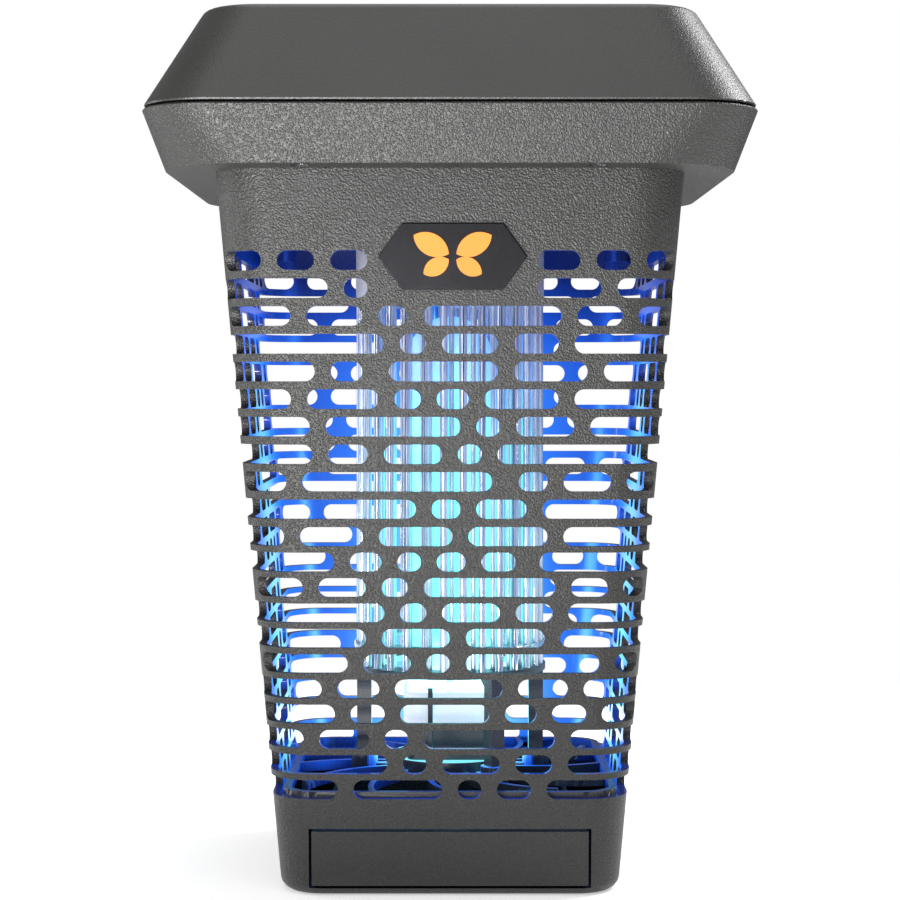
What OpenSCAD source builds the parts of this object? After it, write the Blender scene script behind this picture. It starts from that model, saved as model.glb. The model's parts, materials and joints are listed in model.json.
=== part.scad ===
// Electric bug zapper with a square, slotted housing that tapers to its base, a wide
// two-part lid, a lamp inside a two-layer high-voltage cage, and a drawer for the catch.
// The origin is the middle of the underside. +Z is up and the drawer faces -Y.

/* [Housing] */
// Width across the housing at its base
base_w = 132; // [126:1:140]
// Width across the housing under the lid
shoulder_w = 179.6; // [172:0.2:186]
// Height of the housing
housing_h = 278; // [276:1:282]
// Corner radius at the base
base_r = 17; // [15:0.5:19]
// Corner radius under the lid
shoulder_r = 21; // [19:0.5:23]
// Radius of the edge around the underside
foot_r = 5; // [3:0.5:6]
// Thickness of the moulded walls
wall = 3; // [2.6:0.1:3.2]

/* [Grille slots] */
// Height of a slot
slot_h = 7.4; // [6.6:0.1:7.8]
// Width of the web between two slots in a row
web_w = 6; // [5:0.5:7]
// Height of the top row's middle
first_row_z = 243.7; // [240:0.1:245]
// Spacing of the upper rows
upper_pitch = 10.45; // [10.2:0.05:10.5]
// Spacing of the lower rows
lower_pitch = 9.75; // [9.6:0.05:9.9]

/* [Lid] */
// Width of the lid at its widest
lid_w = 230; // [228:1:234]
// Height of the widest line, where the roof meets the rim
seam_z = 300; // [299:0.5:302]
// Height of the top of the roof
top_z = 339; // [337:0.5:341]
// Width of the rim's underside
rim_w = 217.2; // [214:0.2:220]
// Width of the roof's flat top, between its sharp edges
crown_w = 187; // [184:0.5:190]
// Radius of the edge around the roof's top
crown_edge_r = 4.5; // [3:0.5:6]
// Width of the shadow gap between the roof and the rim
seam_gap = 1; // [0.6:0.1:1.4]

/* [Cage and lamp] */
// Width across the outer grid
cage_w = 77.6; // [75:0.2:80]
// Gap between the outer and the inner grid's wires, centre to centre
grid_gap = 6.4; // [6:0.1:6.6]
// Diameter of an outer wire
outer_wire_d = 3.2; // [2.6:0.1:3.4]
// Diameter of an inner wire
inner_wire_d = 2.2; // [1.8:0.1:2.4]
// Number of outer wires
outer_wires = 30; // [24:1:32]
// Number of inner wires
inner_wires = 22; // [18:1:24]
// Height of the grids' lower ends
cage_z = 82; // [80:1:84]
// Height of the grids' upper ends
cage_top_z = 231; // [230:1:232]
// Diameter of a lamp tube
tube_d = 16; // [15:0.5:16.5]
// Spacing of the lamp's four tubes
tube_pitch = 19; // [18.5:0.5:19.5]

/* [Drawer] */
// Width of the drawer's front
drawer_w = 106.6; // [100:0.2:108]
// Height of the drawer's front
drawer_h = 21.4; // [19:0.2:21.8]
// Gap around the drawer's front
drawer_gap = 1; // [0.6:0.1:1.2]

/* [Hanging bail] */
// Diameter of the bail's wire
bail_d = 4.5; // [4:0.1:5]
// Radius of the bail's bow
bow_r = 42; // [38:1:44]
// Depth of the recess that the folded bail lies in
recess_depth = 7; // [6.5:0.5:8]

/* [Hidden] */

$fn = 32;
charcoal = "#45433f";
thin = 0.01;
through = 400;
// How far a cut runs past the face that it opens
over = 1;

// Taper of the housing
housing_slope = (shoulder_w - base_w) / 2 / housing_h;
lean = atan(housing_slope);
floor_t = 3;
function half_at(z) = base_w / 2 + housing_slope * z;
function corner_at(z) = base_r + (shoulder_r - base_r) * z / housing_h;

// Web centres across each face, the top row first. The first two rows leave the middle
// solid on the front and the back, where the badge sits.
WEBS = [
    [-68, -48, -28, 30, 52, 71],
    [-43, -28, 30, 60],
    [-57, -30, -13, 45, 68],
    [-22, -6, 21, 44],
    [-48, -30, -26, 21, 55],
    [-57, -24, -8, 10, 44],
    [-50, 7, 22, 50],
    [-49, -28, 0, 15],
    [-59, 19, 23, 40, 64],
    [-10, 7, 32],
    [-60, -30, 4, 40],
    [-41, -23, -8, 9, 28, 31],
    [-53, -29, -13, 43, 63],
    [-22, -6, 22, 42],
    [-29, 3, 39],
    [-36, -12, 3, 60],
    [-46, -24, 23, 48],
    [-41, -22, 18, 36, 55],
    [-53, -28, -13, 43],
    [-21, -6, 22, 42],
    [-40, 0, 15, 34]
];
rows = len(WEBS);
pitch_change_row = 10;
badge_rows = 2;
function row_z(i) =
    first_row_z
    - upper_pitch * min(i, pitch_change_row)
    - lower_pitch * max(i - pitch_change_row, 0);
function first_web(i) = WEBS[i][0];
function last_web(i) = WEBS[i][len(WEBS[i]) - 1];

// Corner posts that the lid is screwed to, and ledges under the floor grille
post_at = 76;
post_r = 6.5;
post_z = 252;
ledge_at = 60;
ledge_r = 10;
ledge_t = 5;
grille_z = 36;
grille_t = 4;
hub_t = 8;
back_stop_w = 40;

// Self-tapping screws
screw_r = 1.55;
pilot_r = 1.6;
pilot_depth = 18;
clear_r = 2;
head_r = 3.6;
head_h = 2.4;

// Lid
rim_r = 39;
seam_r = 26.5;
crown_r = 22.5;
rim_top_z = seam_z - seam_gap / 2;
roof_z = seam_z + seam_gap / 2;
deck_z = housing_h + wall;
lid_fn = 64;
lip_w = 2.2;
lip_half = 109.2;
lip_h = 3.4;
lip_r = 23.4;
collar_w = 2.6;
collar_h = 3.2;
collar_r = 23;
seam_break = 0.6;
roof_slope = (lid_w - crown_w) / 2 / (top_z - seam_z);
roof_lean = atan(roof_slope);
function roof_half(z) = lid_w / 2 - roof_slope * (z - seam_z);
function roof_corner(z) = seam_r - (seam_r - crown_r) * (z - seam_z) / (top_z - seam_z);
roof_inset = wall / cos(roof_lean);
roof_screw_x = 55;
roof_screw_y = 99;
roof_screw_pad = 6;
roof_boss_r = 5;
roof_boss_gap = 0.3;
rim_pad_h = 3;
board_pillar_r = 3.5;
board_pilot_r = 1.35;
counterbore_r = 4.2;
counterbore_h = 3;

// Hanging bail, folded flat in its recess
pivot_y = 22;
pivot_z = top_z - recess_depth / 2;
bail_bend_r = 4.5;
pin_end = bow_r + 15;
recess_size = [120, 98];
recess_y = -11;
recess_r = 9;
recess_z = top_z - recess_depth;
bracket_in = bow_r + 5.6;
bracket_w = 8.4;
bracket_len = 28;
bracket_flange_t = 2;
bracket_screw_y = 9.5;
bracket_play = 0.1;
bracket_pilot_r = 1.1;
bracket_clear_r = 1.4;

// Cord gland, square to the rim's back wall
gland_z = 287;
rim_slope = (lid_w - rim_w) / 2 / (rim_top_z - housing_h);
gland_y = rim_w / 2 + rim_slope * (gland_z - housing_h);
gland_tilt = atan(rim_slope);
gland_bore_r = 3.4;
gland_body_r = 5.5;
gland_flange_r = 7;
gland_flange_t = 1.4;
gland_nut_t = 3;
gland_play = 0.1;

// Cage, lamp and their supports
outer_r = (cage_w - outer_wire_d) / 2;
inner_r = outer_r - grid_gap;
outer_turn = -3.9;
inner_turn = 1.2;
grid_ring_t = 1.6;
grid_ring_edge = 0.3;
lower_ring_z = 90;
base_plate_t = 2.5;
base_hole_r = 28;
leg_at = 35.5;
leg_w = 6;
gusset = 7;
// The legs stand at the sides and towards the right, and leave the lamp's latch clear
leg_angles = [0, 60, 180, 300];
stand_z = grille_z + hub_t;
holder_d = 78;
holder_wall = 2.5;
holder_floor_t = 4;
holder_boss_r = 4;
holder_screw_at = 23;
bend_r = tube_pitch / 2;
tube_top_z = 225;
tube_wall = 1;
bend_z = tube_top_z - bend_r - tube_d / 2;
lamp_base_z = 59;
lamp_base_t = 12.5;
lamp_base_w = 38;
tube_seat = 4;
lampholder_w = 35;
pin_r = 1.2;
pin_at = 7;
pin_reach = 8;
conduit_at = [-7.5, 24];
conduit_r = 2.5;
function around(r, turn) = [r * sin(turn), -r * cos(turn)];
lug_reach = 3;
outer_lead_turn = 14;
outer_lead_at = around(outer_r - lug_reach, outer_lead_turn);
inner_lead_at = around(inner_r, 5);
lead_r = 1;

// Drawer
drawer_z = floor_t + drawer_gap;
tray_half = 50;
tray_back = 58;
tray_front = -63;
tray_z = 3.4;
tray_top = 24;
tray_wall = 1.8;
rail_t = 2.4;
rail_h = 13;
rail_play = 0.6;

// Electronics on the lid's deck
board_size = [100, 75];
board_y = -8;
board_z = deck_z + 9;
board_t = 1.6;
board_screw = [44, 32];
transformer_at = [-32, 62];
core_size = [48, 22, 40];
core_leg = 7;
window_w = 10;
winding_play = 0.3;
terminal_at = [30, 66];

// Shared shapes

module rounded_rect(w, d, r) {
    square([w, d - 2 * r], center = true);
    square([w - 2 * r, d], center = true);
    for (x = [-1, 1], y = [-1, 1])
        translate([x * (w / 2 - r), y * (d / 2 - r)])
            circle(r = r);
}

module block(w, d, h, r) {
    linear_extrude(height = h)
        rounded_rect(w, d, r);
}

// One level of a lofted shell, for use inside hull()
module level(z, half, r) {
    translate([0, 0, z])
        linear_extrude(height = thin)
            rounded_rect(2 * half, 2 * half, r);
}

module at_corners(x, y) {
    for (sx = [-1, 1], sy = [-1, 1])
        translate([sx * x, sy * y, 0])
            children();
}

// Pan-head screw: the head sits on z = 0 and the shank points down
module screw(r, shank, cap_r, cap_h) {
    slot_w = cap_r * 0.28;
    translate([0, 0, -shank])
        cylinder(r = r, h = shank + thin);
    difference() {
        cylinder(r = cap_r, h = cap_h);
        for (turn = [0, 90])
            rotate(turn)
                translate([-cap_r * 0.6, -slot_w / 2, cap_h * 0.5])
                    cube([cap_r * 1.2, slot_w, cap_h]);
    }
}

// Housing

module housing_form(inset = 0) {
    hull() {
        for (a = [0:22.5:90]) {
            z = foot_r * (1 - cos(a));
            in = foot_r * (1 - sin(a)) + inset;
            level(z, half_at(z) - in, corner_at(z) - in);
        }
        level(housing_h - thin, half_at(housing_h) - inset, corner_at(housing_h) - inset);
    }
}

module housing_cavity() {
    hull()
        for (z = [floor_t, housing_h + over])
            level(z, half_at(z) - wall, corner_at(z) - wall);
}

// A slot with round ends, from x0 to x1
module slot(x0, x1) {
    r = slot_h / 2;
    translate([x0 + r, -r])
        square([x1 - x0 - slot_h, slot_h]);
    translate([x0 + r, 0])
        circle(r = r);
    translate([x1 - r, 0])
        circle(r = r);
}

module row_slots(i, badged) {
    for (k = [0:len(WEBS[i]) - 2]) {
        x0 = WEBS[i][k] + web_w / 2;
        x1 = WEBS[i][k + 1] - web_w / 2;
        behind_badge = badged && i < badge_rows && x0 < 0 && x1 > 0;
        if (x1 - x0 > slot_h && !behind_badge)
            slot(x0, x1);
    }
}

module face_slots(badged) {
    for (i = [0:rows - 1])
        translate([0, row_z(i)])
            row_slots(i, badged);
}

// The slots that run on around the corners, past the last web on each side
module end_slots() {
    for (i = [0:rows - 1])
        translate([0, row_z(i)]) {
            slot(last_web(i) + web_w / 2, shoulder_w);
            slot(-shoulder_w, first_web(i) - web_w / 2);
        }
}

module cut_front_to_back() {
    rotate([90, 0, 0])
        linear_extrude(height = through, center = true)
            children();
}

module cut_side_to_side() {
    rotate([90, 0, -90])
        linear_extrude(height = through, center = true)
            children();
}

module housing() {
    color(charcoal)
        difference() {
            union() {
                difference() {
                    housing_form();
                    housing_cavity();
                }
                intersection() {
                    housing_form(1);
                    union() {
                        at_corners(post_at, post_at)
                            translate([0, 0, post_z])
                                cylinder(r = post_r, h = housing_h - post_z);
                        at_corners(ledge_at, ledge_at)
                            translate([0, 0, grille_z - ledge_t])
                                cylinder(r = ledge_r, h = ledge_t);
                    }
                }
                for (side = [0, 180])
                    rotate(side)
                        translate([tray_half + rail_play, -tray_back, floor_t - over])
                            cube([rail_t, 2 * tray_back, rail_h + over]);
                translate([-back_stop_w / 2, tray_back + rail_play, floor_t - over])
                    cube([back_stop_w, rail_t, rail_h]);
            }
            cut_front_to_back()
                face_slots(true);
            cut_side_to_side()
                face_slots(false);
            intersection() {
                cut_front_to_back()
                    end_slots();
                cut_side_to_side()
                    end_slots();
            }
            translate([-drawer_w / 2 - drawer_gap, -base_w, floor_t])
                cube([
                    drawer_w + 2 * drawer_gap,
                    base_w - tray_half - rail_t,
                    drawer_h + 2 * drawer_gap
                ]);
            at_corners(post_at, post_at)
                translate([0, 0, housing_h - pilot_depth])
                    cylinder(r = pilot_r, h = pilot_depth + over);
        }
}

// Badge on the front, a plain moth sign on a long hexagon

badge_z = 245;
badge_x = 1;
badge_t = 1;
emblem_t = 0.5;

module on_front() {
    translate([badge_x, -half_at(badge_z), badge_z])
        rotate([90 + lean, 0, 0])
            children();
}

module badge_plate() {
    color("#333335")
        on_front()
            linear_extrude(height = badge_t)
                polygon([[-28, 0], [-19, 12.5], [19, 12.5], [28, 0], [19, -12.5], [-19, -12.5]]);
}

// A leaf-shaped wing between two arcs, from the origin outwards along +X
module wing(length, fatness) {
    r = length / 2 / cos(fatness);
    rise = length / 2 * tan(fatness);
    intersection() {
        translate([length / 2, rise])
            circle(r = r);
        translate([length / 2, -rise])
            circle(r = r);
    }
}

module badge_emblem() {
    color("#e07a1a")
        on_front()
            translate([0, 0, badge_t])
                linear_extrude(height = emblem_t)
                    for (side = [0, 1])
                        mirror([side, 0]) {
                            translate([1.4, 1])
                                rotate(28)
                                    wing(15, 32);
                            translate([1.4, -1])
                                rotate(-30)
                                    wing(11, 28);
                        }
}

// Rim, the lower half of the lid

module rim_form(inset = 0) {
    hull() {
        level(housing_h, rim_w / 2 - inset, rim_r - inset);
        level(rim_top_z - seam_break, lid_w / 2 - inset, seam_r - inset);
        level(rim_top_z - thin, lid_w / 2 - seam_break - inset, seam_r - seam_break - inset);
    }
}

module rim_cavity() {
    slope_in = rim_slope * wall;
    hull() {
        level(deck_z, rim_w / 2 + slope_in - wall, rim_r - wall);
        level(rim_top_z + over, lid_w / 2 - wall, seam_r - wall);
    }
}

// A square ring between two half widths
module ring(z, h, outer, inner, r) {
    translate([0, 0, z])
        linear_extrude(height = h)
            difference() {
                rounded_rect(2 * outer, 2 * outer, r);
                rounded_rect(2 * inner, 2 * inner, r - (outer - inner));
            }
}

module on_gland_axis() {
    translate([0, gland_y, gland_z])
        rotate([-90 - gland_tilt, 0, 0])
            children();
}

// A round hole down through the rim's deck
module deck_hole(r) {
    translate([0, 0, housing_h - over])
        cylinder(r = r, h = 10);
}

module rim() {
    color("#4a4845")
        difference() {
            union() {
                difference() {
                    rim_form($fn = lid_fn);
                    rim_cavity($fn = lid_fn);
                }
                ring(seam_z - collar_h - 0.8, collar_h, lip_half + collar_w, lip_half - lip_w, collar_r);
                ring(seam_z - 1, lip_h, lip_half, lip_half - lip_w, lip_r);
                at_corners(roof_screw_x, roof_screw_y)
                    translate([0, 0, deck_z - over])
                        cylinder(r = roof_screw_pad, h = rim_pad_h + over);
                translate([0, board_y, deck_z - over])
                    at_corners(board_screw[0], board_screw[1])
                        cylinder(r = board_pillar_r, h = board_z - deck_z + over);
            }
            at_corners(roof_screw_x, roof_screw_y) {
                deck_hole(clear_r);
                translate([0, 0, housing_h - over])
                    cylinder(r = counterbore_r, h = counterbore_h + over);
            }
            at_corners(post_at, post_at)
                deck_hole(clear_r);
            at_corners(holder_screw_at, holder_screw_at)
                deck_hole(clear_r);
            translate([0, board_y, deck_z + 2])
                at_corners(board_screw[0], board_screw[1])
                    cylinder(r = board_pilot_r, h = board_z - deck_z);
            for (p = [outer_lead_at, inner_lead_at])
                translate([p[0], p[1], 0])
                    deck_hole(lead_r + 0.1);
            translate([conduit_at[0], conduit_at[1], 0])
                deck_hole(conduit_r + 0.1);
            on_gland_axis()
                cylinder(r = gland_body_r + gland_play, h = 20, center = true);
        }
}

// The bore's mouth faces away from the lid
module cord_gland() {
    color("#1c1c1c")
        on_gland_axis()
            difference() {
                union() {
                    translate([0, 0, -wall - gland_nut_t])
                        cylinder(r = gland_body_r, h = wall + gland_nut_t + gland_flange_t);
                    translate([0, 0, gland_play])
                        cylinder(r = gland_flange_r, h = gland_flange_t);
                    translate([0, 0, -wall - gland_nut_t - 0.4])
                        cylinder(r = gland_flange_r, h = gland_nut_t);
                }
                cylinder(r = gland_bore_r, h = through, center = true);
            }
}

// Roof, the upper half of the lid

module roof_form(inset = 0) {
    edge_z = top_z - crown_edge_r;
    tangent_z = edge_z + crown_edge_r * sin(roof_lean);
    edge_half = roof_half(tangent_z) - crown_edge_r * cos(roof_lean);
    hull() {
        level(roof_z, roof_half(roof_z) - seam_break - inset, seam_r - seam_break - inset);
        level(roof_z + seam_break, roof_half(roof_z + seam_break) - inset, seam_r - inset);
        for (step = [0:4]) {
            a = roof_lean + (90 - roof_lean) * step / 4;
            half = edge_half + crown_edge_r * cos(a);
            z = edge_z + crown_edge_r * sin(a);
            level(z - thin, half - inset, roof_corner(z) - (roof_half(tangent_z) - half) - inset);
        }
    }
}

module roof_cavity() {
    z = top_z - wall;
    hull() {
        level(roof_z - over, roof_half(roof_z) - roof_inset, seam_r - wall);
        level(z - thin, roof_half(z) - roof_inset, roof_corner(z) - wall);
    }
}

module roof() {
    boss_z = deck_z + rim_pad_h + roof_boss_gap;
    color("#474543")
        difference() {
            union() {
                difference() {
                    roof_form($fn = lid_fn);
                    roof_cavity($fn = lid_fn);
                }
                intersection() {
                    roof_form(1);
                    at_corners(roof_screw_x, roof_screw_y)
                        translate([0, 0, roof_z])
                            cylinder(r = roof_boss_r, h = top_z - roof_z);
                }
                at_corners(roof_screw_x, roof_screw_y)
                    translate([0, 0, boss_z])
                        cylinder(r = roof_boss_r, h = roof_z - boss_z + wall);
                translate([0, recess_y, recess_z - wall])
                    block(
                        recess_size[0] + 2 * wall,
                        recess_size[1] + 2 * wall,
                        recess_depth,
                        recess_r + wall
                    );
            }
            translate([0, recess_y, recess_z])
                block(recess_size[0], recess_size[1], recess_depth + over, recess_r);
            at_corners(roof_screw_x, roof_screw_y)
                translate([0, 0, boss_z - over])
                    cylinder(r = pilot_r, h = pilot_depth);
            translate([0, pivot_y, recess_z - wall - over])
                at_corners(bracket_in + bracket_w / 2, bracket_screw_y)
                    cylinder(r = bracket_pilot_r, h = wall + 2 * over);
        }
}

// Hanging bail: a wire bow whose turned-out ends are its hinge pins

module bail_half() {
    translate([bow_r + bail_bend_r, pivot_y, pivot_z])
        rotate([0, 90, 0])
            cylinder(d = bail_d, h = pin_end - bow_r - bail_bend_r);
    translate([bow_r + bail_bend_r, pivot_y - bail_bend_r, pivot_z])
        rotate([0, 0, 90])
            rotate_extrude(angle = 90)
                translate([bail_bend_r, 0])
                    circle(d = bail_d);
    translate([bow_r, 0, pivot_z])
        rotate([-90, 0, 0])
            cylinder(d = bail_d, h = pivot_y - bail_bend_r);
}

module hanging_bail() {
    color("silver") {
        bail_half();
        mirror([1, 0, 0])
            bail_half();
        translate([0, 0, pivot_z])
            rotate([0, 0, 180])
                rotate_extrude(angle = 180)
                    translate([bow_r, 0])
                        circle(d = bail_d);
    }
}

module bail_brackets() {
    saddle_r = bail_d / 2 + 1;
    color("#3a3937")
        for (side = [0, 1])
            mirror([side, 0, 0])
                translate([bracket_in, pivot_y, recess_z])
                    difference() {
                        union() {
                            translate([0, -bracket_len / 2, 0])
                                cube([bracket_w, bracket_len, bracket_flange_t]);
                            translate([0, -saddle_r, 0])
                                cube([bracket_w, 2 * saddle_r, recess_depth / 2]);
                            translate([0, 0, recess_depth / 2])
                                rotate([0, 90, 0])
                                    cylinder(r = saddle_r, h = bracket_w);
                        }
                        translate([-over, 0, recess_depth / 2])
                            rotate([0, 90, 0])
                                cylinder(r = bail_d / 2 + bracket_play, h = bracket_w + 2 * over);
                        for (y = [-1, 1])
                            translate([bracket_w / 2, y * bracket_screw_y, -over])
                                cylinder(r = bracket_clear_r, h = bracket_flange_t + 2 * over);
                    }
}

module bail_bracket_screws() {
    color("silver")
        translate([0, pivot_y, recess_z + bracket_flange_t])
            at_corners(bracket_in + bracket_w / 2, bracket_screw_y)
                screw(bracket_pilot_r - 0.05, 6, 2.4, 1.6);
}

// High-voltage cage: two nested rounds of wires between an upper holder and a lower base

module round_ring(z, h, outer, inner) {
    translate([0, 0, z])
        linear_extrude(height = h)
            difference() {
                circle(r = outer, $fn = 96);
                circle(r = inner, $fn = 96);
            }
}

// Wires around a circle of radius r, welded through a flat ring near each end
module grid(r, wire_d, wires, turn) {
    ring_w = wire_d / 2 + grid_ring_edge;
    for (z = [lower_ring_z, cage_top_z - grid_ring_t])
        round_ring(z, grid_ring_t, r + ring_w, r - ring_w);
    for (k = [0:wires - 1])
        rotate(turn + k * 360 / wires)
            translate([0, -r, cage_z])
                cylinder(d = wire_d, h = cage_top_z - grid_ring_t / 2 - cage_z, $fn = 24);
}

// A lug reaches inwards from the top ring to the lead
module outer_grid() {
    lug_w = 3;
    color("#d5d8dc") {
        grid(outer_r, outer_wire_d, outer_wires, outer_turn);
        rotate(outer_lead_turn)
            translate([-lug_w / 2, -outer_r, cage_top_z - grid_ring_t])
                cube([lug_w, lug_reach + lead_r + 0.5, grid_ring_t]);
    }
}

module inner_grid() {
    color("#c4c8cc")
        grid(inner_r, inner_wire_d, inner_wires, inner_turn);
}

// Cup that hangs from the lid and holds the grids' upper ends
module grid_holder() {
    color("#9a9c9f")
        difference() {
            union() {
                translate([0, 0, cage_top_z])
                    difference() {
                        cylinder(d = holder_d, h = housing_h - cage_top_z, $fn = 96);
                        translate([0, 0, holder_floor_t])
                            cylinder(d = holder_d - 2 * holder_wall, h = housing_h, $fn = 96);
                    }
                at_corners(holder_screw_at, holder_screw_at)
                    translate([0, 0, cage_top_z + over])
                        cylinder(r = holder_boss_r, h = housing_h - cage_top_z - over);
            }
            at_corners(holder_screw_at, holder_screw_at)
                translate([0, 0, housing_h - pilot_depth])
                    cylinder(r = pilot_r, h = pilot_depth + over);
            for (p = [outer_lead_at, inner_lead_at])
                translate([p[0], p[1], cage_top_z - over])
                    cylinder(r = lead_r + 0.1, h = 10);
            translate([conduit_at[0], conduit_at[1], cage_top_z - over])
                cylinder(r = conduit_r + 0.1, h = 10);
        }
}

// Ring under the grids' lower ends, on four legs
module grid_base() {
    plate_z = cage_z - base_plate_t;
    color("#2c2e33") {
        round_ring(plate_z, base_plate_t, leg_at + leg_w / 2 + 1, base_hole_r);
        for (turn = leg_angles)
            rotate(turn)
                translate([leg_at, 0, 0]) {
                    translate([-leg_w / 2, -leg_w / 2, stand_z])
                        cube([leg_w, leg_w, plate_z - stand_z + over]);
                    translate([0, leg_w / 2, plate_z])
                        rotate([90, 0, 0])
                            linear_extrude(height = leg_w)
                                polygon([[0, over], [0, -gusset], [-gusset, 0], [-gusset, over]]);
                }
    }
}

module grid_leads() {
    color("#b03028")
        for (p = [outer_lead_at, inner_lead_at])
            translate([p[0], p[1], cage_top_z])
                cylinder(r = lead_r, h = board_z - cage_top_z);
}

// Lamp: two U-shaped tubes side by side in a plug-in base

module u_tube(r, leg_z) {
    for (x = [-1, 1])
        translate([x * bend_r, 0, leg_z])
            cylinder(r = r, h = bend_z - leg_z);
    translate([0, 0, bend_z])
        rotate([90, 0, 0])
            rotate_extrude(angle = 180)
                translate([bend_r, 0])
                    circle(r = r);
}

module uv_tubes() {
    foot_z = lamp_base_z + lamp_base_t - tube_seat;
    color("#7fd8ff")
        for (y = [-1, 1])
            translate([0, y * tube_pitch / 2, 0])
                difference() {
                    u_tube(tube_d / 2, foot_z);
                    u_tube(tube_d / 2 - tube_wall, foot_z + tube_wall);
                }
}

module lamp_base() {
    color("#f0efec")
        translate([0, 0, lamp_base_z])
            difference() {
                block(lamp_base_w, lamp_base_w, lamp_base_t, 7);
                translate([0, 0, lamp_base_t - tube_seat])
                    at_corners(tube_pitch / 2, tube_pitch / 2)
                        cylinder(r = tube_d / 2 + 0.1, h = tube_seat + 1);
                translate([0, 0, -1])
                    at_corners(pin_at, pin_at)
                        cylinder(r = pin_r + 0.05, h = 4);
            }
}

module lamp_pins() {
    color("#d9b25c")
        translate([0, 0, lamp_base_z - pin_reach])
            at_corners(pin_at, pin_at)
                cylinder(r = pin_r, h = pin_reach + 3);
}

module lampholder() {
    height = lamp_base_z - stand_z;
    color("#303238")
        translate([0, 0, stand_z])
            difference() {
                block(lampholder_w, lampholder_w, height, 4);
                translate([0, 0, height - pin_reach - 1])
                    at_corners(pin_at, pin_at)
                        cylinder(r = pin_r + 0.1, h = pin_reach + 2);
            }
}

// Latch that hooks over the lamp's base
module lamp_clip() {
    clip_x = -9;
    clip_w = 2;
    arm_t = 1.6;
    hook_t = 1.6;
    hook = 1.2;
    foot_h = 5;
    play = 0.3;
    arm_z = stand_z + 2;
    base_top_z = lamp_base_z + lamp_base_t;
    color("#17181c")
        translate([clip_x, -lamp_base_w / 2 - play - arm_t, 0]) {
            translate([0, 0, arm_z])
                cube([clip_w, arm_t, base_top_z + play + hook_t - arm_z]);
            translate([0, 0, base_top_z + play])
                cube([clip_w, arm_t + play + hook, hook_t]);
            translate([0, 0, arm_z])
                cube([clip_w, arm_t + play + (lamp_base_w - lampholder_w) / 2, foot_h]);
        }
}

module lamp_conduit() {
    bottom = stand_z + 6;
    color("#1d2024")
        translate([conduit_at[0], conduit_at[1], bottom])
            difference() {
                cylinder(r = conduit_r, h = deck_z + 6 - bottom);
                translate([0, 0, -1])
                    cylinder(r = conduit_r - 0.8, h = through);
            }
}

// Floor grille: curved ribs from a hub to a square frame

module floor_grille() {
    frame_half = half_at(grille_z) - wall - 0.9;
    frame_r = corner_at(grille_z) - wall - 0.5;
    hub_r = 25;
    rib_t = 2.2;
    arc_r = 48;
    rib_count = 12;
    pad_r = 5.5;
    spoke_w = 5;
    color("#2b2d33") {
        ring(grille_z, grille_t, frame_half, frame_half - 3, frame_r);
        translate([0, 0, grille_z])
            intersection() {
                linear_extrude(height = grille_t)
                    rounded_rect(2 * frame_half - 2, 2 * frame_half - 2, frame_r - 1);
                for (k = [0:rib_count - 1])
                    rotate((k + 0.5) * 360 / rib_count)
                        translate([hub_r - 1, arc_r, 0])
                            rotate([0, 0, -90])
                                rotate_extrude(angle = 62)
                                    translate([arc_r - rib_t / 2, 0])
                                        square([rib_t, grille_t]);
            }
        translate([0, 0, grille_z])
            difference() {
                cylinder(r = hub_r, h = hub_t);
                translate([0, 0, -1])
                    cylinder(r = hub_r - 9, h = hub_t + 2);
            }
        for (turn = leg_angles)
            rotate(turn) {
                translate([leg_at, 0, grille_z])
                    cylinder(r = pad_r, h = hub_t);
                translate([hub_r - 2, -spoke_w / 2, grille_z])
                    cube([leg_at - hub_r + 2, spoke_w, grille_t]);
            }
    }
}

// Drawer that catches what falls from the cage

module collection_tray() {
    color("#403e3b") {
        intersection() {
            housing_form();
            translate([-drawer_w / 2, -base_w, drawer_z])
                cube([drawer_w, base_w + tray_front + 0.4, drawer_h]);
        }
        difference() {
            translate([-tray_half, tray_front, tray_z])
                cube([2 * tray_half, tray_back - tray_front, tray_top - tray_z]);
            translate([-tray_half + tray_wall, tray_front + tray_wall, tray_z + tray_wall])
                cube([
                    2 * (tray_half - tray_wall),
                    tray_back - tray_front - 2 * tray_wall,
                    tray_top
                ]);
        }
    }
}

// Electronics in the lid

module circuit_board() {
    color("#2f6b3c")
        translate([0, board_y, board_z])
            difference() {
                linear_extrude(height = board_t)
                    square(board_size, center = true);
                translate([0, 0, -1])
                    at_corners(board_screw[0], board_screw[1])
                        cylinder(r = 1.5, h = 5);
            }
}

module capacitors() {
    color("#c8842a")
        translate([-28, board_y - 18, board_z + board_t])
            for (k = [0:3])
                translate([k * 15, 0, 0])
                    cylinder(r = 6, h = 16);
}

module fuse() {
    color("#d8dde0")
        translate([20, board_y + 22, board_z + board_t + 3])
            rotate([0, 90, 0])
                cylinder(r = 2.8, h = 20);
}

module transformer_core() {
    window_h = core_size[2] - 2 * core_leg;
    color("#6b6e73")
        translate([transformer_at[0], transformer_at[1], deck_z + core_size[2] / 2])
            difference() {
                cube(core_size, center = true);
                for (x = [-1, 1])
                    translate([x * (core_leg + window_w / 2), 0, 0])
                        cube([window_w, core_size[1] + 2, window_h], center = true);
            }
}

module transformer_winding() {
    window_h = core_size[2] - 2 * core_leg - 2 * winding_play;
    outer_w = 2 * (core_leg + window_w - winding_play);
    inner_w = 2 * (core_leg + winding_play);
    color("#b86a2c")
        translate([transformer_at[0], transformer_at[1], deck_z + core_size[2] / 2])
            difference() {
                cube([outer_w, core_size[1] + 18, window_h], center = true);
                cube([inner_w, core_size[1] + 2 * winding_play, through], center = true);
            }
}

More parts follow.
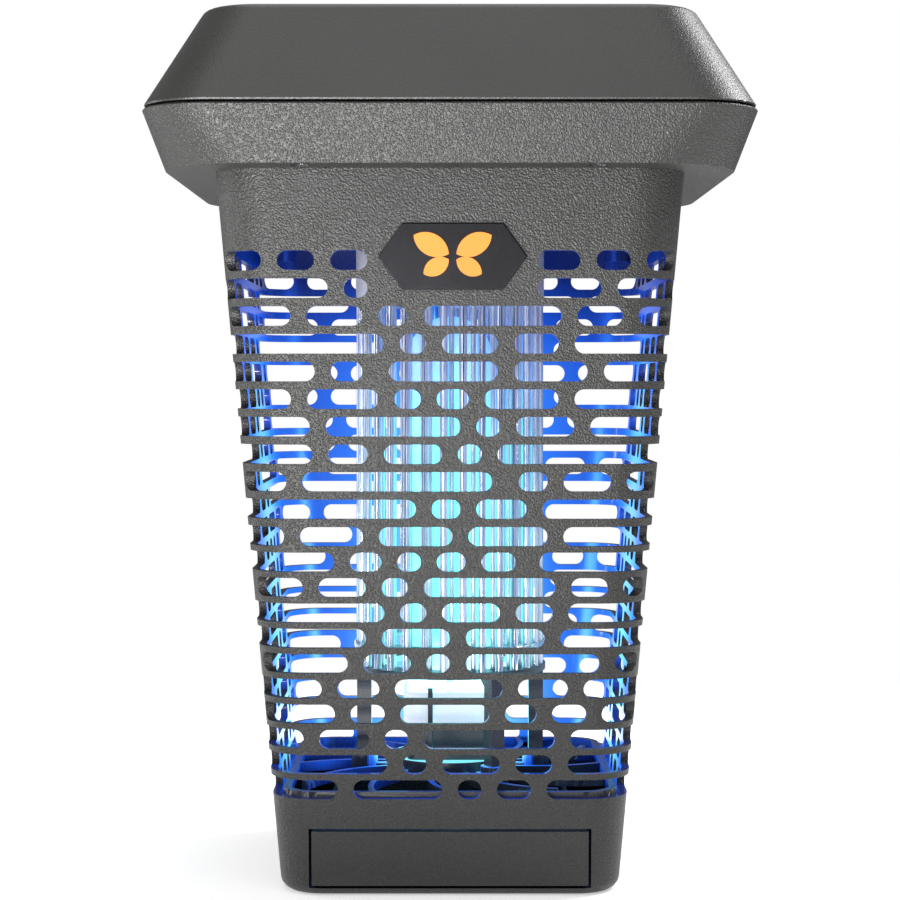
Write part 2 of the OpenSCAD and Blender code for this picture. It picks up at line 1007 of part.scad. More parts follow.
module terminal_block() {
    ways = 3;
    way_w = 9;
    color("#e4e2dc")
        translate([terminal_at[0], terminal_at[1], deck_z])
            difference() {
                cube([ways * way_w, 15, 12]);
                for (k = [0:ways - 1])
                    translate([(k + 0.5) * way_w, -1, 6])
                        rotate([-90, 0, 0])
                            cylinder(r = 2, h = 20);
            }
}

module board_screws() {
    color("silver")
        translate([0, board_y, board_z + board_t])
            at_corners(board_screw[0], board_screw[1])
                screw(1.3, 7, 2.6, 1.8);
}

module holder_screws() {
    color("silver")
        translate([0, 0, deck_z])
            at_corners(holder_screw_at, holder_screw_at)
                screw(screw_r, 14, head_r, head_h);
}

module housing_screws() {
    color("silver")
        translate([0, 0, deck_z])
            at_corners(post_at, post_at)
                screw(screw_r, 16, head_r, head_h);
}

module roof_screws() {
    color("silver")
        translate([0, 0, housing_h + counterbore_h])
            at_corners(roof_screw_x, roof_screw_y)
                mirror([0, 0, 1])
                    screw(screw_r, 16, head_r, head_h);
}

housing();
rim();
roof();
hanging_bail();
bail_brackets();
bail_bracket_screws();
badge_plate();
badge_emblem();
cord_gland();
outer_grid();
inner_grid();
grid_holder();
grid_base();
uv_tubes();
lamp_base();
lamp_pins();
lampholder();
lamp_clip();
lamp_conduit();
grid_leads();
floor_grille();
collection_tray();
circuit_board();
capacitors();
transformer_core();
transformer_winding();
terminal_block();
fuse();
board_screws();
holder_screws();
housing_screws();
roof_screws();
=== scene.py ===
"""Electric bug zapper: a slotted square housing under a wide lid, lit from inside by its lamp."""
import json
import math

import bmesh
import bpy
from mathutils import Matrix, Vector


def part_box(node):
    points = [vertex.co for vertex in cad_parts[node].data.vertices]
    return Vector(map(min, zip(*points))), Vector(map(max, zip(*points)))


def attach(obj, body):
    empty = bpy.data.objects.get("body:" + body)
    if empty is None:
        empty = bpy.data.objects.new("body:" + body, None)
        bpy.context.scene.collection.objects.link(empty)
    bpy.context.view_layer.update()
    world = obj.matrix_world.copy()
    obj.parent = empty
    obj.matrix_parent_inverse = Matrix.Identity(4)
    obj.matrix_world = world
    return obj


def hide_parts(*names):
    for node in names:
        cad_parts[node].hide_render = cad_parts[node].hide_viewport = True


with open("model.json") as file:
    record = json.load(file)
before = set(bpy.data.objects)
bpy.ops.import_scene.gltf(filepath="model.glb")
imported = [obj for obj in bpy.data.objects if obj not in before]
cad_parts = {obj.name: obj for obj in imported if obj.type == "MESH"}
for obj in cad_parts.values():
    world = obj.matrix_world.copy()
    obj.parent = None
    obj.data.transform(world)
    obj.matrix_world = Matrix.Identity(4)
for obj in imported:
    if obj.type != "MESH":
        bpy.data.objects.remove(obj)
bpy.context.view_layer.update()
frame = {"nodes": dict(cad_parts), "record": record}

bl_info = {
    "name": "Electric bug zapper",
    "version": (1, 0, 0),
    "blender": (4, 5, 0),
    "location": "View3D > Sidebar > Zapper",
    "description": "Finishes the bug zapper's pieces and sets up its studio",
    "category": "Object",
}

MERGE_DISTANCE = 2e-6
FLAT_ANGLE = math.radians(0.5)
SHARP_ANGLE = math.radians(32)
SMOOTH_ANGLE = math.radians(38)

# Painted lamp light, given out by the walls themselves: the share of light that a wall takes from the lamp,
# and its painted colour for each share
PAINTED_LIGHT_SHARE = 0.66
PAINTED_LIGHT_COLOURS = (
    (0.12, (0, 0.01, 0.13)),
    (0.3, (0.006, 0.07, 0.6)),
    (0.55, (0.025, 0.2, 1)),
)
PAINTED_LIGHT_BRIGHTEST = (0.25, 0.9, 1)

# Heights between which the painted lamp light fades in above the drawer and weakens under the lid
DRAWER_FADE = (0.031, 0.045)
LID_FADE = (0.215, 0.25)
LID_PAINTED_LIGHT = 0.45

# The painted reflection of the lamp on a corner: its normal, folded into one quarter, and how sharply it
# ends
PAINTED_REFLECTION_NORMAL = (0.36, 0.93, 0.0)
PAINTED_REFLECTION_POWER = 70.0

# The wall inside is smoother than the grain outside
INSIDE_ROUGHNESS = 0.16

# Widths of the broken edges that are finer than the panel's own
FINE_EDGE = 0.0001
SCREW_EDGE = 0.00015
PIN_EDGE = 0.0002

FLOOR_EMISSION = 0.45
WORLD_LIGHT = 0.25
WHITE = (1, 1, 1, 1)


# Settings


class ZapperColours(bpy.types.PropertyGroup):
    """Colours of the zapper's plastics, metals and light"""

    charcoal: bpy.props.FloatVectorProperty(
        name="Charcoal plastic",
        description="Moulded plastic of the housing, the lid and the drawer",
        subtype="COLOR",
        default=(0.024, 0.0235, 0.0225),
    )
    inner_dark: bpy.props.FloatVectorProperty(
        name="Inner plastic",
        description="Smooth dark plastic of the parts under the lamp",
        subtype="COLOR",
        default=(0.03, 0.032, 0.038),
    )
    holder_grey: bpy.props.FloatVectorProperty(
        name="Grid holder",
        description="Grey plastic block that the grids hang from",
        subtype="COLOR",
        default=(0.55, 0.54, 0.55),
    )
    lamp_foot: bpy.props.FloatVectorProperty(
        name="Lamp foot",
        description="Light of the lamp's tubes at their foot",
        subtype="COLOR",
        default=(0.62, 1.0, 0.97),
    )
    lamp_middle: bpy.props.FloatVectorProperty(
        name="Lamp middle",
        description="Light of the lamp's tubes halfway up",
        subtype="COLOR",
        default=(0.04, 0.95, 0.97),
    )
    lamp_top: bpy.props.FloatVectorProperty(
        name="Lamp top",
        description="Light of the lamp's tubes around their bends",
        subtype="COLOR",
        default=(0.06, 0.24, 1.0),
    )
    badge_dark: bpy.props.FloatVectorProperty(
        name="Badge plate",
        description="Dark anodised plate of the badge",
        subtype="COLOR",
        default=(0.02, 0.02, 0.022),
    )
    badge_orange: bpy.props.FloatVectorProperty(
        name="Badge sign",
        description="Raised sign on the badge",
        subtype="COLOR",
        default=(0.62, 0.2, 0.01),
    )


class ZapperSizes(bpy.types.PropertyGroup):
    """Sizes of the finish on the zapper's pieces"""

    shell_edge: bpy.props.FloatProperty(
        name="Shell edge",
        description="Width of the broken edge around each slot and along the lid",
        subtype="DISTANCE",
        default=0.00035,
    )
    small_edge: bpy.props.FloatProperty(
        name="Small edge",
        description="Width of the broken edge on the small mouldings",
        subtype="DISTANCE",
        default=0.0003,
    )
    grain: bpy.props.FloatProperty(
        name="Grain",
        description="Width of one pebble in the moulded grain",
        subtype="DISTANCE",
        default=0.0008,
    )
    grain_depth: bpy.props.FloatProperty(
        name="Grain depth",
        description="Height of the pebbles above the valleys between them",
        subtype="DISTANCE",
        default=0.00022,
    )
    lamp_power: bpy.props.FloatProperty(
        name="Lamp strength",
        description="Strength of the light that the tubes give out",
        default=1.3,
    )
    # Reach of the painted lamp light: a wall facing the lamp at this distance is painted bright blue
    painted_light_reach: bpy.props.FloatProperty(
        name="Glow reach",
        description="Distance from the lamp at which a facing wall glows bright blue",
        subtype="DISTANCE",
        default=0.085,
    )


class StageSettings(bpy.types.PropertyGroup):
    """Camera and studio"""

    lens: bpy.props.FloatProperty(
        name="Lens",
        description="Focal length",
        subtype="DISTANCE_CAMERA",
        default=85.9,
    )
    camera_distance: bpy.props.FloatProperty(
        name="Camera distance",
        description="Distance from the zapper's middle to the camera",
        subtype="DISTANCE",
        default=0.8923,
    )
    camera_height: bpy.props.FloatProperty(
        name="Camera height",
        description="Height of the level camera above the floor",
        subtype="DISTANCE",
        default=0.1975,
    )
    camera_shift: bpy.props.FloatProperty(
        name="Camera shift",
        description="Vertical shift of the lens, as a share of the frame's width",
        default=-0.0743,
    )
    floor_tone: bpy.props.FloatProperty(
        name="Floor tone",
        description="Lightness of the floor",
        default=0.9,
    )


def colours():
    return bpy.context.scene.zapper_colours


def sizes():
    return bpy.context.scene.zapper_sizes


# Materials


def node(tree, kind, inputs=None, **settings):
    """Adds a node, sets its options, and links or fills its inputs."""
    made = tree.nodes.new(kind)
    for name, value in settings.items():
        setattr(made, name, value)
    for name, value in (inputs or {}).items():
        if isinstance(value, bpy.types.NodeSocket):
            tree.links.new(value, made.inputs[name])
        else:
            made.inputs[name].default_value = value
    return made


def new_material(name):
    """A material with a Principled shader: returns it, its tree, its shader and object coordinates."""
    material = bpy.data.materials.new(f"{name}_finish")
    material.use_nodes = True
    tree = material.node_tree
    tree.nodes.clear()
    shader = node(tree, "ShaderNodeBsdfPrincipled")
    node(tree, "ShaderNodeOutputMaterial", {"Surface": shader.outputs["BSDF"]})
    where = node(tree, "ShaderNodeTexCoord").outputs["Object"]
    return material, tree, shader, where


def noise(tree, where, size, detail=3.0, roughness=0.5, distortion=0.0):
    """Noise whose features are about size metres wide."""
    made = node(
        tree,
        "ShaderNodeTexNoise",
        {
            "Vector": where,
            "Scale": 1.0 / size,
            "Detail": detail,
            "Roughness": roughness,
            "Distortion": distortion,
        },
    )
    return made.outputs["Fac"]


def remap(tree, value, low, high, new_low, new_high):
    made = node(
        tree,
        "ShaderNodeMapRange",
        {
            "Value": value,
            "From Min": low,
            "From Max": high,
            "To Min": new_low,
            "To Max": new_high,
        },
    )
    return made.outputs["Result"]


def tinted(tree, colour, factor):
    """The colour made lighter or darker by a factor that varies over the surface."""
    made = node(
        tree,
        "ShaderNodeVectorMath",
        {0: (colour[0], colour[1], colour[2]), "Scale": factor},
        operation="SCALE",
    )
    return made.outputs["Vector"]


def bump(tree, height, depth, strength=1.0):
    made = node(
        tree,
        "ShaderNodeBump",
        {"Height": height, "Distance": depth, "Strength": strength},
    )
    return made.outputs["Normal"]


def math_node(tree, operation, first, second):
    return node(tree, "ShaderNodeMath", {0: first, 1: second}, operation=operation).outputs["Value"]


def vector_node(tree, operation, first, second=None):
    inputs = {0: first} if second is None else {0: first, 1: second}
    return node(tree, "ShaderNodeVectorMath", inputs, operation=operation)


def blend(tree, share, first, second):
    """First where share is 0, second where it is 1."""
    return node(tree, "ShaderNodeMix", {0: share, 2: first, 3: second}).outputs[0]


def painted_corner_reflection(tree, normal):
    """A painted reflection: a bright line down each corner's curve, where it mirrors the lamp to the front.
    """
    folded = vector_node(tree, "ABSOLUTE", normal).outputs["Vector"]
    along = vector_node(tree, "DOT_PRODUCT", folded, PAINTED_REFLECTION_NORMAL).outputs["Value"]
    return math_node(tree, "POWER", along, PAINTED_REFLECTION_POWER)


def paint_lamp_light(tree, where, shader, share=1.0):
    """Painted lamp light: blue emission on whatever faces the lamp, none on the outside: returns how far a
    face faces it.
    """
    low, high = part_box("uv_tubes")
    height = node(tree, "ShaderNodeSeparateXYZ", {"Vector": where}).outputs["Z"]
    nearest = node(tree, "ShaderNodeClamp", {"Value": height, "Min": low.z, "Max": high.z - 0.04})
    lamp = node(tree, "ShaderNodeCombineXYZ", {"Z": nearest.outputs["Result"]}).outputs["Vector"]
    to_lamp = vector_node(tree, "SUBTRACT", lamp, where).outputs["Vector"]
    distance = vector_node(tree, "LENGTH", to_lamp).outputs["Value"]
    normal = node(tree, "ShaderNodeNewGeometry").outputs["Normal"]
    direction = vector_node(tree, "NORMALIZE", to_lamp).outputs["Vector"]
    cosine = vector_node(tree, "DOT_PRODUCT", direction, normal).outputs["Value"]
    facing = math_node(tree, "MAXIMUM", cosine, 0.0)
    nearness = math_node(tree, "DIVIDE", sizes().painted_light_reach, distance)
    fall_off = math_node(tree, "POWER", nearness, 2.0)
    # Painted reflection of the lamp down the corners, on top of the painted lamp light
    painted_reflection_gain = math_node(tree, "ADD", 1.0, painted_corner_reflection(tree, normal))
    above_drawer = remap(tree, height, *DRAWER_FADE, 0.0, 1.0)
    below_lid = remap(tree, height, *LID_FADE, 1.0, LID_PAINTED_LIGHT)
    lit = math_node(tree, "MULTIPLY", facing, fall_off)
    for factor in (painted_reflection_gain, above_drawer, below_lid, PAINTED_LIGHT_SHARE * share):
        lit = math_node(tree, "MULTIPLY", lit, factor)
    # Painted colour of the lamp light, from black through blue to cyan, given out as emission
    ramp = node(tree, "ShaderNodeValToRGB", {"Fac": lit})
    ramp.color_ramp.elements[0].color = (0, 0, 0, 1)
    ramp.color_ramp.elements[1].color = (*PAINTED_LIGHT_BRIGHTEST, 1)
    for place, colour in PAINTED_LIGHT_COLOURS:
        ramp.color_ramp.elements.new(place).color = (*colour, 1)
    tree.links.new(ramp.outputs["Color"], shader.inputs["Emission Color"])
    shader.inputs["Emission Strength"].default_value = 1.0
    return facing


def pebbled_plastic(name, relief=1.0, with_painted_light=False):
    """Charcoal moulding with a leather-like grain of rounded pebbles, relief times as deep, with painted
    highlight on the pebble tops and painted shade in the valleys.
    """
    material, tree, shader, where = new_material(name)
    size = sizes().grain
    bent = node(
        tree,
        "ShaderNodeVectorMath",
        {
            0: node(tree, "ShaderNodeTexNoise", {"Vector": where, "Scale": 0.6 / size}).outputs["Color"],
            "Scale": size * 1.2,
        },
        operation="SCALE",
    ).outputs["Vector"]
    pebbles = node(
        tree,
        "ShaderNodeTexVoronoi",
        {
            "Vector": vector_node(tree, "ADD", where, bent).outputs["Vector"],
            "Scale": 1.0 / size,
            "Smoothness": 0.5,
        },
        feature="SMOOTH_F1",
    ).outputs["Distance"]
    domes = remap(tree, pebbles, 0.05, 0.65, 1.0, 0.0)
    wrinkles = noise(tree, where, size * 0.6, detail=2.0, distortion=0.6)
    height = math_node(tree, "ADD", domes, math_node(tree, "MULTIPLY", wrinkles, 0.6))
    clouds = noise(tree, where, 0.05, detail=4.0)
    # Tone: random clouds, times painted highlight on the pebble tops and painted shade in the valleys
    # between them
    tone = math_node(
        tree,
        "MULTIPLY",
        remap(tree, clouds, 0.3, 0.7, 0.92, 1.08),
        remap(tree, height, 0.3, 1.3, 1.0 - 0.3 * relief, 1.0 + 0.25 * relief),
    )
    rough = remap(tree, wrinkles, 0.3, 0.7, 0.34, 0.46)
    strength = 1.0
    # Painted lamp light on the inner faces, which are also made smoother and flat there
    if with_painted_light:
        inside = remap(tree, paint_lamp_light(tree, where, shader), 0.02, 0.2, 0.0, 1.0)
        rough = blend(tree, inside, rough, INSIDE_ROUGHNESS)
        strength = blend(tree, inside, strength, 0.0)
    tree.links.new(tinted(tree, colours().charcoal, tone), shader.inputs["Base Color"])
    tree.links.new(rough, shader.inputs["Roughness"])
    tree.links.new(bump(tree, height, sizes().grain_depth * relief, strength), shader.inputs["Normal"])
    return material


def smooth_plastic(name, colour, rough, grain=0.0006, painted_light_amount=0.0):
    """Moulded plastic with a fine spark-eroded texture, with painted lamp light at the given share."""
    material, tree, shader, where = new_material(name)
    fine = noise(tree, where, grain, detail=2.0)
    clouds = noise(tree, where, 0.03, detail=3.0)
    tree.links.new(
        tinted(tree, colour, remap(tree, clouds, 0.3, 0.7, 0.92, 1.08)), shader.inputs["Base Color"]
    )
    tree.links.new(remap(tree, fine, 0.3, 0.7, rough - 0.06, rough + 0.06), shader.inputs["Roughness"])
    tree.links.new(bump(tree, fine, grain * 0.1, 0.4), shader.inputs["Normal"])
    if painted_light_amount:
        paint_lamp_light(tree, where, shader, painted_light_amount)
    return material


def metal(name, colour, rough, stretch=(1.0, 1.0, 1.0), scratch=0.0006):
    """Plated or drawn metal: fine marks, longer along the small axes of stretch."""
    material, tree, shader, where = new_material(name)
    drawn = node(tree, "ShaderNodeMapping", {"Vector": where, "Scale": stretch}).outputs["Vector"]
    marks = noise(tree, drawn, scratch, detail=3.0)
    clouds = noise(tree, where, 0.02, detail=3.0)
    shader.inputs["Metallic"].default_value = 1.0
    tree.links.new(
        tinted(tree, colour, remap(tree, clouds, 0.3, 0.7, 0.88, 1.06)), shader.inputs["Base Color"]
    )
    tree.links.new(remap(tree, marks, 0.3, 0.7, rough * 0.7, rough * 1.3), shader.inputs["Roughness"])
    tree.links.new(bump(tree, marks, scratch * 0.08, 0.3), shader.inputs["Normal"])
    return material


def lamp_glass():
    """Lit tubes: pale at the foot, cyan halfway up and blue around the bends."""
    material, tree, shader, where = new_material("lamp_glass")
    low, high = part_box("uv_tubes")
    up = node(tree, "ShaderNodeSeparateXYZ", {"Vector": where}).outputs["Z"]
    rise = remap(tree, up, low.z, high.z, 0.0, 1.0)
    coat = noise(tree, where, 0.006, detail=3.0)
    uneven = math_node(tree, "ADD", rise, remap(tree, coat, 0.3, 0.7, -0.03, 0.03))
    ramp = node(tree, "ShaderNodeValToRGB", {"Fac": uneven})
    ramp.color_ramp.elements[0].color = (*colours().lamp_foot, 1)
    ramp.color_ramp.elements[1].color = (*colours().lamp_top, 1)
    ramp.color_ramp.elements[1].position = 0.85
    ramp.color_ramp.elements.new(0.2).color = (*colours().lamp_middle, 1)
    ramp.color_ramp.elements.new(0.62).color = (*colours().lamp_middle, 1)
    shader.inputs["Base Color"].default_value = (0.75, 0.9, 1.0, 1.0)
    shader.inputs["Roughness"].default_value = 0.12
    shader.inputs["Emission Strength"].default_value = sizes().lamp_power
    tree.links.new(ramp.outputs["Color"], shader.inputs["Emission Color"])
    return material


def lamp_white():
    """White plastic with a faint pale painted glow, painted light that keeps it bright inside the housing.
    """
    material = smooth_plastic("lamp_white", (0.85, 0.85, 0.86), 0.3)
    shader = material.node_tree.nodes["Principled BSDF"]
    # Painted glow: the white plastic gives out a faint pale blue light of its own
    shader.inputs["Emission Color"].default_value = (0.85, 0.9, 1.0, 1.0)
    shader.inputs["Emission Strength"].default_value = 0.35
    return material


def floor_paint():
    """Plain pale studio floor, a little uneven."""
    material, tree, shader, where = new_material("studio_floor")
    tone = bpy.context.scene.zapper_stage.floor_tone
    patches = noise(tree, where, 0.6, detail=2.0)
    tree.links.new(
        tinted(tree, (tone, tone, tone), remap(tree, patches, 0.3, 0.7, 0.995, 1.0)),
        shader.inputs["Base Color"],
    )
    shader.inputs["Roughness"].default_value = 0.7
    shader.inputs["Specular IOR Level"].default_value = 0.1
    shader.inputs["Emission Color"].default_value = WHITE
    shader.inputs["Emission Strength"].default_value = FLOOR_EMISSION
    return material


MATERIALS = {
    # The housing carries painted lamp light on its inner walls
    "housing_plastic": lambda: pebbled_plastic("housing_plastic", with_painted_light=True),
    "rim_plastic": lambda: pebbled_plastic("rim_plastic"),
    "roof_plastic": lambda: pebbled_plastic("roof_plastic", relief=0.35),
    "drawer_plastic": lambda: pebbled_plastic("drawer_plastic"),
    # The inner parts carry half the painted lamp light
    "inner_plastic": lambda: smooth_plastic("inner_plastic", colours().inner_dark, 0.3, painted_light_amount=0.5),
    "holder_plastic": lambda: smooth_plastic("holder_plastic", colours().holder_grey, 0.3),
    "lamp_white": lamp_white,
    "white_plastic": lambda: smooth_plastic("white_plastic", (0.8, 0.79, 0.76), 0.35),
    "badge_lacquer": lambda: smooth_plastic("badge_lacquer", colours().badge_orange, 0.45),
    "lead_cover": lambda: smooth_plastic("lead_cover", (0.45, 0.03, 0.02), 0.4),
    "board_mask": lambda: smooth_plastic("board_mask", (0.02, 0.13, 0.05), 0.3),
    "capacitor_film": lambda: smooth_plastic("capacitor_film", (0.6, 0.25, 0.05), 0.3),
    "winding_copper": lambda: metal("winding_copper", (0.72, 0.32, 0.14), 0.35, (1, 1, 30)),
    "core_steel": lambda: metal("core_steel", (0.2, 0.2, 0.21), 0.5, (1, 30, 1)),
    "grid_wire": lambda: metal("grid_wire", (0.8, 0.82, 0.84), 0.3, (1, 1, 0.03), 0.0015),
    "bright_zinc": lambda: metal("bright_zinc", (0.66, 0.67, 0.69), 0.25),
    "badge_anodised": lambda: metal("badge_anodised", colours().badge_dark, 0.35, (1, 30, 30), 0.0012),
    "pin_brass": lambda: metal("pin_brass", (0.75, 0.58, 0.28), 0.25),
    "fuse_glass": lambda: smooth_plastic("fuse_glass", (0.75, 0.8, 0.82), 0.1),
    "lamp_glass": lamp_glass,
    "gland_rubber": lambda: smooth_plastic("gland_rubber", (0.02, 0.02, 0.02), 0.7),
}


def material(name):
    """The named material, made on first use."""
    return bpy.data.materials.get(f"{name}_finish") or MATERIALS[name]()


# Pieces


def body_of(cad_name):
    for body, members in frame["record"]["behaviour"]["bodies"].items():
        if cad_name in members:
            return body
    raise RuntimeError(f"no body holds {cad_name}")


def add_piece(name, mesh, finish, cad_name):
    """Puts a finished mesh in the scene as the piece that stands for a CAD node."""
    piece = bpy.data.objects.new(name, mesh)
    bpy.context.scene.collection.objects.link(piece)
    mesh.materials.clear()
    mesh.materials.append(material(finish))
    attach(piece, body_of(cad_name))
    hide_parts(cad_name)
    return piece


def merged_copy(cad_name):
    """The CAD node's shape as a clean mesh: corners joined and flat faces made whole."""
    shape = bmesh.new()
    shape.from_mesh(frame["nodes"][cad_name].data)
    bmesh.ops.remove_doubles(shape, verts=shape.verts, dist=MERGE_DISTANCE)
    bmesh.ops.dissolve_limit(shape, angle_limit=FLAT_ANGLE, verts=shape.verts, edges=shape.edges)
    return shape


def break_edges(shape, width, segments=1):
    """Bevels every sharp edge."""
    sharp = [e for e in shape.edges if e.is_manifold and e.calc_face_angle() > SHARP_ANGLE]
    bmesh.ops.bevel(
        shape,
        geom=sharp,
        offset=width,
        segments=segments,
        profile=0.5,
        affect="EDGES",
        clamp_overlap=True,
        material=-1,
    )


def shaded_mesh(name, shape):
    """Turns a bmesh into a mesh with smooth faces and crisp corners."""
    mesh = bpy.data.meshes.new(name)
    shape.to_mesh(mesh)
    shape.free()
    mesh.shade_smooth()
    mesh.set_sharp_from_angle(angle=SMOOTH_ANGLE)
    return mesh


def weight_normals(piece):
    """Keeps large flat faces flat where they meet a rounded edge."""
    modifier = piece.modifiers.new("weighted_normals", "WEIGHTED_NORMAL")
    modifier.keep_sharp = True
    modifier.weight = 50


def finished_copy(cad_name, finish, edge=0.0, segments=1):
    """A CAD node with broken edges, smooth curves and its own finish."""
    shape = merged_copy(cad_name)
    if edge:
        break_edges(shape, edge, segments)
    piece = add_piece(f"{cad_name}_piece", shaded_mesh(cad_name, shape), finish, cad_name)
    weight_normals(piece)


class ZAPPER_OT_housing(bpy.types.Operator):
    """Finish the slotted housing"""

    bl_idname = "zapper.housing"
    bl_label = "Housing"

    def execute(self, context):
        finished_copy("housing", "housing_plastic", sizes().shell_edge)
        return {"FINISHED"}


class ZAPPER_OT_lid(bpy.types.Operator):
    """Finish the lid's rim and roof"""

    bl_idname = "zapper.lid"
    bl_label = "Lid"

    def execute(self, context):
        finished_copy("rim", "rim_plastic", sizes().shell_edge, 2)
        finished_copy("roof", "roof_plastic", sizes().shell_edge, 2)
        return {"FINISHED"}


class ZAPPER_OT_drawer(bpy.types.Operator):
    """Finish the drawer"""

    bl_idname = "zapper.drawer"
    bl_label = "Drawer"

    def execute(self, context):
        finished_copy("collection_tray", "drawer_plastic", sizes().shell_edge, 2)
        return {"FINISHED"}


class ZAPPER_OT_badge(bpy.types.Operator):
    """Finish the badge and its moth sign"""

    bl_idname = "zapper.badge"
    bl_label = "Badge"

    def execute(self, context):
        finished_copy("badge_plate", "badge_anodised", sizes().small_edge, 3)
        finished_copy("badge_emblem", "badge_lacquer", sizes().small_edge * 0.5, 2)
        return {"FINISHED"}


class ZAPPER_OT_bail(bpy.types.Operator):
    """Finish the hanging bail and its brackets"""

    bl_idname = "zapper.bail"
    bl_label = "Hanging bail"

    def execute(self, context):
        finished_copy("hanging_bail", "bright_zinc")
        finished_copy("bail_brackets", "inner_plastic", sizes().small_edge, 2)
        return {"FINISHED"}


class ZAPPER_OT_cage(bpy.types.Operator):
    """Finish the high-voltage cage"""

    bl_idname = "zapper.cage"
    bl_label = "Cage"

    def execute(self, context):
        finished_copy("outer_grid", "grid_wire", FINE_EDGE)
        finished_copy("inner_grid", "grid_wire", FINE_EDGE)
        finished_copy("grid_holder", "holder_plastic", sizes().small_edge, 2)
        finished_copy("grid_base", "inner_plastic", sizes().small_edge, 2)
        finished_copy("grid_leads", "lead_cover")
        return {"FINISHED"}


class ZAPPER_OT_lamp(bpy.types.Operator):
    """Finish the lamp, its base and its holder"""

    bl_idname = "zapper.lamp"
    bl_label = "Lamp"

    def execute(self, context):
        finished_copy("uv_tubes", "lamp_glass")
        finished_copy("lamp_base", "lamp_white", sizes().small_edge, 3)
        finished_copy("lamp_pins", "pin_brass", PIN_EDGE)
        finished_copy("lampholder", "inner_plastic", sizes().small_edge, 2)
        finished_copy("lamp_clip", "inner_plastic", PIN_EDGE)
        finished_copy("lamp_conduit", "inner_plastic", FINE_EDGE)
        return {"FINISHED"}


class ZAPPER_OT_floor_grille(bpy.types.Operator):
    """Finish the grille with curved ribs over the drawer"""

    bl_idname = "zapper.floor_grille"
    bl_label = "Floor grille"

    def execute(self, context):
        finished_copy("floor_grille", "inner_plastic", sizes().small_edge)
        return {"FINISHED"}


class ZAPPER_OT_electronics(bpy.types.Operator):
    """Finish what lies on the deck inside the lid"""

    bl_idname = "zapper.electronics"
    bl_label = "Electronics"

    def execute(self, context):
        finished_copy("circuit_board", "board_mask", FINE_EDGE)
        finished_copy("capacitors", "capacitor_film", 0.0008, 3)
        finished_copy("fuse", "fuse_glass", 0.0003, 2)
        finished_copy("transformer_core", "core_steel", sizes().small_edge)
        finished_copy("transformer_winding", "winding_copper", 0.0015, 3)
        finished_copy("terminal_block", "white_plastic", sizes().small_edge, 2)
        return {"FINISHED"}


class ZAPPER_OT_fittings(bpy.types.Operator):
    """Finish the screws and the cord gland"""

    bl_idname = "zapper.fittings"
    bl_label = "Fittings"

    def execute(self, context):
        for name in (
            "bail_bracket_screws",
            "board_screws",
            "holder_screws",
            "housing_screws",
            "roof_screws",
        ):
            finished_copy(name, "bright_zinc", SCREW_EDGE)
        finished_copy("cord_gland", "gland_rubber", sizes().small_edge, 3)
        return {"FINISHED"}


# Stage


def aim(thing, target):
    """Turns a light or the camera towards a point."""
    away = Vector(target) - thing.location
    thing.rotation_euler = away.to_track_quat("-Z", "Y").to_euler()


def softbox(name, place, target, width, height, power):
    light = bpy.data.lights.new(name, "AREA")
    light.shape = "RECTANGLE"
    light.size = width
    light.size_y = height
    light.energy = power
    lamp = bpy.data.objects.new(name, light)
    lamp.location = place
    bpy.context.scene.collection.objects.link(lamp)
    aim(lamp, target)


def add_camera():
    settings = bpy.context.scene.zapper_stage
    data = bpy.data.cameras.new("camera")
    data.lens = settings.lens
    data.shift_y = settings.camera_shift
    camera = bpy.data.objects.new("camera", data)
    camera.location = (0, -settings.camera_distance, settings.camera_height)
    camera.rotation_euler = (math.radians(90), 0, 0)
    bpy.context.scene.collection.objects.link(camera)
    bpy.context.scene.camera = camera


def add_floor():
    shape = bmesh.new()
    bmesh.ops.create_grid(
        shape,
        x_segments=1,
        y_segments=1,
        size=1.0,
        matrix=Matrix.Translation((0, -0.5, 0)) @ Matrix.Scale(2.0, 4, (1, 0, 0)),
    )
    mesh = bpy.data.meshes.new("floor")
    shape.to_mesh(mesh)
    shape.free()
    mesh.materials.append(floor_paint())
    floor = bpy.data.objects.new("floor", mesh)
    bpy.context.scene.collection.objects.link(floor)


def add_world():
    """A surround that is seen white but lights the zapper more weakly."""
    world = bpy.data.worlds.new("studio")
    world.use_nodes = True
    bpy.context.scene.world = world
    tree = world.node_tree
    tree.nodes.clear()
    seen = node(tree, "ShaderNodeBackground", {"Color": WHITE, "Strength": 1.0})
    lit = node(tree, "ShaderNodeBackground", {"Color": WHITE, "Strength": WORLD_LIGHT})
    ray = node(tree, "ShaderNodeLightPath").outputs["Is Camera Ray"]
    mix = node(
        tree,
        "ShaderNodeMixShader",
        {0: ray, 1: lit.outputs["Background"], 2: seen.outputs["Background"]},
    )
    node(tree, "ShaderNodeOutputWorld", {"Surface": mix.outputs["Shader"]})


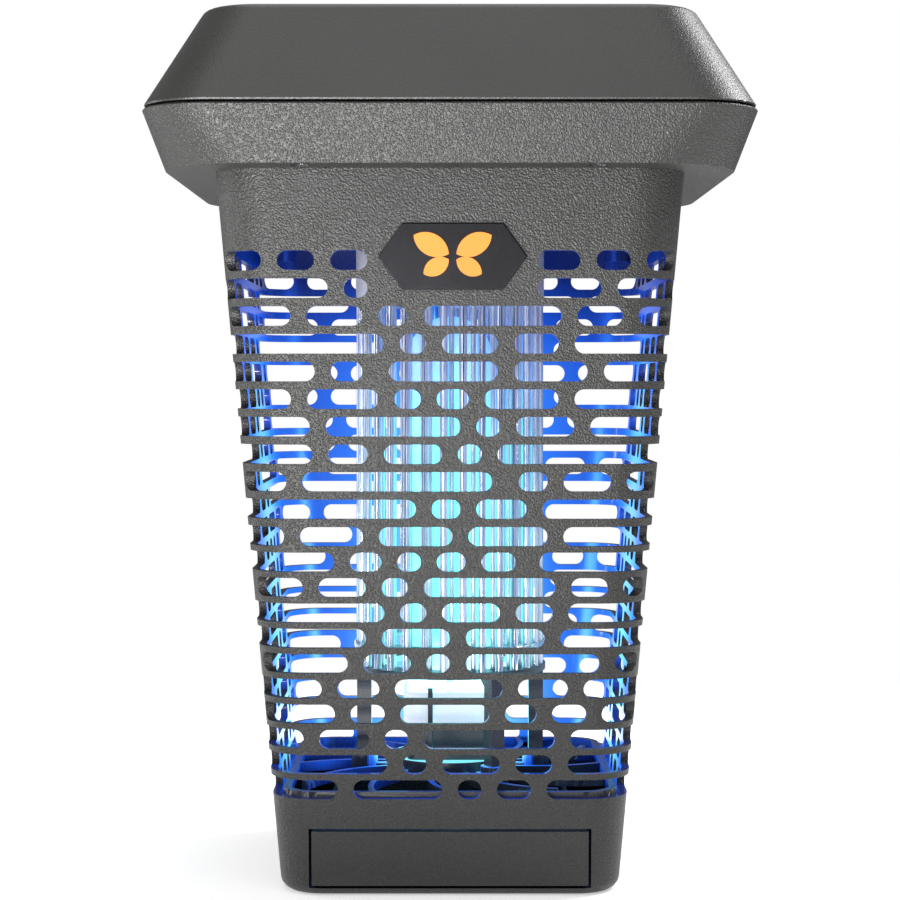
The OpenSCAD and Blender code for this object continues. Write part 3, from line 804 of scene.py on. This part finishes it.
class ZAPPER_OT_stage(bpy.types.Operator):
    """Set up the floor, the lights and the camera"""

    bl_idname = "zapper.stage"
    bl_label = "Stage"

    def execute(self, context):
        add_world()
        add_floor()
        add_camera()
        middle = (0, 0, 0.19)
        softbox("key", (-0.75, -1.0, 0.5), middle, 0.4, 0.5, 4)
        softbox("fill", (1.0, -1.2, 0.35), middle, 0.7, 0.7, 1.5)
        softbox("left_edge", (-1.1, 0.35, 0.3), middle, 0.25, 0.9, 5)
        softbox("overhead", (0, 0.45, 1.5), middle, 1.0, 1.0, 6)
        softbox("roof_front", (0, -0.62, 1.6), (0, -0.1, 0.32), 1.3, 1.1, 7)
        softbox("roof_streak", (0.92, 0.4, 1.0), (0.1, -0.1, 0.32), 0.45, 0.45, 12)
        softbox("rim_kick", (-0.22, -0.64, 0.01), (-0.22, -0.64, 1.0), 0.4, 0.4, 16)
        context.scene.view_settings.view_transform = "Standard"
        return {"FINISHED"}


class ZAPPER_PT_panel(bpy.types.Panel):
    """Pieces of the bug zapper"""

    bl_idname = "ZAPPER_PT_panel"
    bl_label = "Bug zapper"
    bl_space_type = "VIEW_3D"
    bl_region_type = "UI"
    bl_category = "Zapper"

    def draw(self, context):
        for operator in PIECE_OPERATORS:
            self.layout.operator(operator.bl_idname)
        for group in (context.scene.zapper_colours, context.scene.zapper_sizes, context.scene.zapper_stage):
            box = self.layout.box()
            for name in group.__annotations__:
                box.prop(group, name)


PIECE_OPERATORS = (
    ZAPPER_OT_housing,
    ZAPPER_OT_lid,
    ZAPPER_OT_drawer,
    ZAPPER_OT_badge,
    ZAPPER_OT_bail,
    ZAPPER_OT_cage,
    ZAPPER_OT_lamp,
    ZAPPER_OT_floor_grille,
    ZAPPER_OT_electronics,
    ZAPPER_OT_fittings,
    ZAPPER_OT_stage,
)
CLASSES = (ZapperColours, ZapperSizes, StageSettings, *PIECE_OPERATORS, ZAPPER_PT_panel)


def register():
    for cls in CLASSES:
        bpy.utils.register_class(cls)
    bpy.types.Scene.zapper_colours = bpy.props.PointerProperty(type=ZapperColours)
    bpy.types.Scene.zapper_sizes = bpy.props.PointerProperty(type=ZapperSizes)
    bpy.types.Scene.zapper_stage = bpy.props.PointerProperty(type=StageSettings)


def unregister():
    del bpy.types.Scene.zapper_stage
    del bpy.types.Scene.zapper_sizes
    del bpy.types.Scene.zapper_colours
    for cls in reversed(CLASSES):
        bpy.utils.unregister_class(cls)


def main():
    register()
    for operator in PIECE_OPERATORS:
        group, name = operator.bl_idname.split(".")
        getattr(getattr(bpy.ops, group), name)()


if __name__ == "__main__":
    main()
